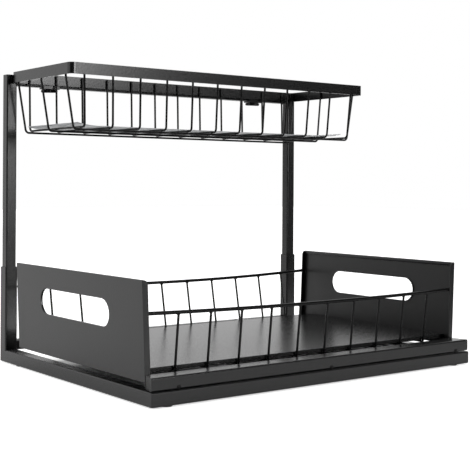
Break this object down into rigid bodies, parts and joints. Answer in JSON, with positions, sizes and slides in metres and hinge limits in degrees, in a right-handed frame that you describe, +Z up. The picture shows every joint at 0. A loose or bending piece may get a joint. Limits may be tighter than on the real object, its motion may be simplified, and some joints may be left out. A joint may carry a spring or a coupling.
{
  "type": "under_sink_organizer",
  "caption": "Black metal under sink organizer: a wire basket on rear posts above a pull-out wire drawer on ball-bearing slides",
  "frame": {"origin": "on the floor, at the middle of the footprint", "axes": "+Z up, the drawer opens towards -Y, +X to the right when facing the front from -Y"},
  "size_m": [0.42, 0.315, 0.3231],
  "materials": {
    "black_tube": "semi-gloss black powder coat with fine orange peel",
    "black_band": "semi-gloss black powder coat on flat steel band",
    "black_wire": "semi-gloss black powder coat on steel wire",
    "black_sheet": "satin black powder coat on folded sheet",
    "black_floor": "smooth semi-gloss black powder coat with blurred reflections",
    "black_plastic": "moulded black polyethylene, slightly glossy",
    "black_hardware": "black coated thumb screw",
    "rubber_pad": "thin matte rubber pad",
    "clear_liner": "thin frosted translucent plastic sheet",
    "zinc_steel": "zinc plated rolled steel",
    "zinc_fastener": "zinc plated steel fasteners",
    "polished_ball": "polished bearing steel",
    "cage_steel": "thin pressed steel cage"
  },
  "bodies": {
    "base": {"feet": "rubber_pad", "base_front_bar": "black_tube", "base_rear_bar": "black_tube", "left_rail": "black_tube", "right_rail": "black_tube", "left_socket": "black_tube", "right_socket": "black_tube", "left_post": "black_tube", "right_post": "black_tube", "top_cross_bar": "black_tube", "post_caps": "black_plastic", "shelf_ring": "black_band", "shelf_brackets": "black_band", "thumb_screws": "black_hardware", "basket_cross_wire_1": "black_wire", "basket_cross_wire_2": "black_wire", "basket_cross_wire_3": "black_wire", "basket_cross_wire_4": "black_wire", "basket_cross_wire_5": "black_wire", "basket_cross_wire_6": "black_wire", "basket_cross_wire_7": "black_wire", "basket_cross_wire_8": "black_wire", "basket_cross_wire_9": "black_wire", "basket_cross_wire_10": "black_wire", "basket_cross_wire_11": "black_wire", "basket_cross_wire_12": "black_wire", "basket_long_wires": "black_wire", "basket_liner": "clear_liner", "left_slide_outer": "zinc_steel", "right_slide_outer": "zinc_steel", "slide_arms": "zinc_steel", "slide_rivets": "zinc_fastener"},
    "left_cage": {"left_ball_cage": "cage_steel", "left_balls": "polished_ball"},
    "right_cage": {"right_ball_cage": "cage_steel", "right_balls": "polished_ball"},
    "drawer": {"left_side_plate": "black_sheet", "right_side_plate": "black_sheet", "floor_panel": "black_floor", "front_rail": "black_wire", "rear_rail": "black_wire", "drawer_wire_1": "black_wire", "drawer_wire_2": "black_wire", "drawer_wire_3": "black_wire", "drawer_wire_4": "black_wire", "drawer_wire_5": "black_wire", "drawer_wire_6": "black_wire", "drawer_wire_7": "black_wire", "drawer_wire_8": "black_wire", "drawer_wire_9": "black_wire", "drawer_wire_10": "black_wire", "drawer_front_bar": "black_tube", "drawer_bar_plugs": "black_plastic", "bar_rivets": "black_hardware", "left_slide_inner": "zinc_steel", "right_slide_inner": "zinc_steel", "left_runner_bracket": "zinc_steel", "right_runner_bracket": "zinc_steel", "runner_screws": "zinc_fastener"}
  },
  "joints": [
    {"name": "drawer_slide", "type": "slide", "parent": "base", "child": "drawer", "axis": [0, -1, 0], "range_m": [0, 0.2]},
    {"name": "left_cage_roll", "type": "slide", "parent": "base", "child": "left_cage", "axis": [0, -1, 0], "range_m": [0, 0.1]},
    {"name": "right_cage_roll", "type": "slide", "parent": "base", "child": "right_cage", "axis": [0, -1, 0], "range_m": [0, 0.1]}
  ],
  "couplings": [
    {"joint": "left_cage_roll", "follows": "drawer_slide", "ratio": 0.5},
    {"joint": "right_cage_roll", "follows": "drawer_slide", "ratio": 0.5}
  ]
}
